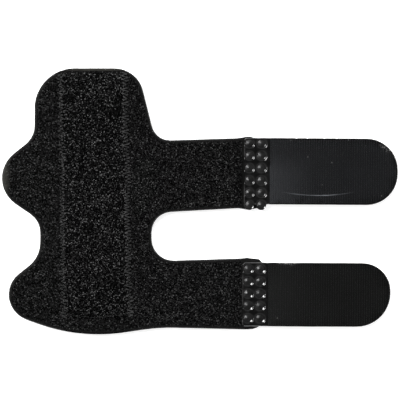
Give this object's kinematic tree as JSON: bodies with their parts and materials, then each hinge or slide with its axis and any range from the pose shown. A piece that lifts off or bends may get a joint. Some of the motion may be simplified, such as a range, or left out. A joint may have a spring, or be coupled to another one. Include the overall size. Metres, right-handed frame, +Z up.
{
  "type": "finger splint",
  "caption": "Flat, open finger splint: a soft die-cut wrap with a sewn stay sleeve and two straps that end in round hook tabs.",
  "frame": {"origin": "middle of the part's box, on the surface that the splint lies on", "axes": "+Z up, away from that surface and towards the fleece side; +Y towards the finger tip end; +X towards the hook tabs"},
  "size_m": [0.119, 0.08, 0.0052],
  "materials": {
    "wrap_cloth": "brushed black fleece with a soft matte nap",
    "sleeve_cloth": "coarser black pile cloth, matte with fine bright fibres",
    "hook_tape": "satin black moulded hooks, glossy where it is welded"
  },
  "bodies": {
    "root": {"body_panel": "wrap_cloth", "stay_sleeve": "sleeve_cloth", "upper_hook_tab": "hook_tape", "lower_hook_tab": "hook_tape"}
  },
  "joints": []
}
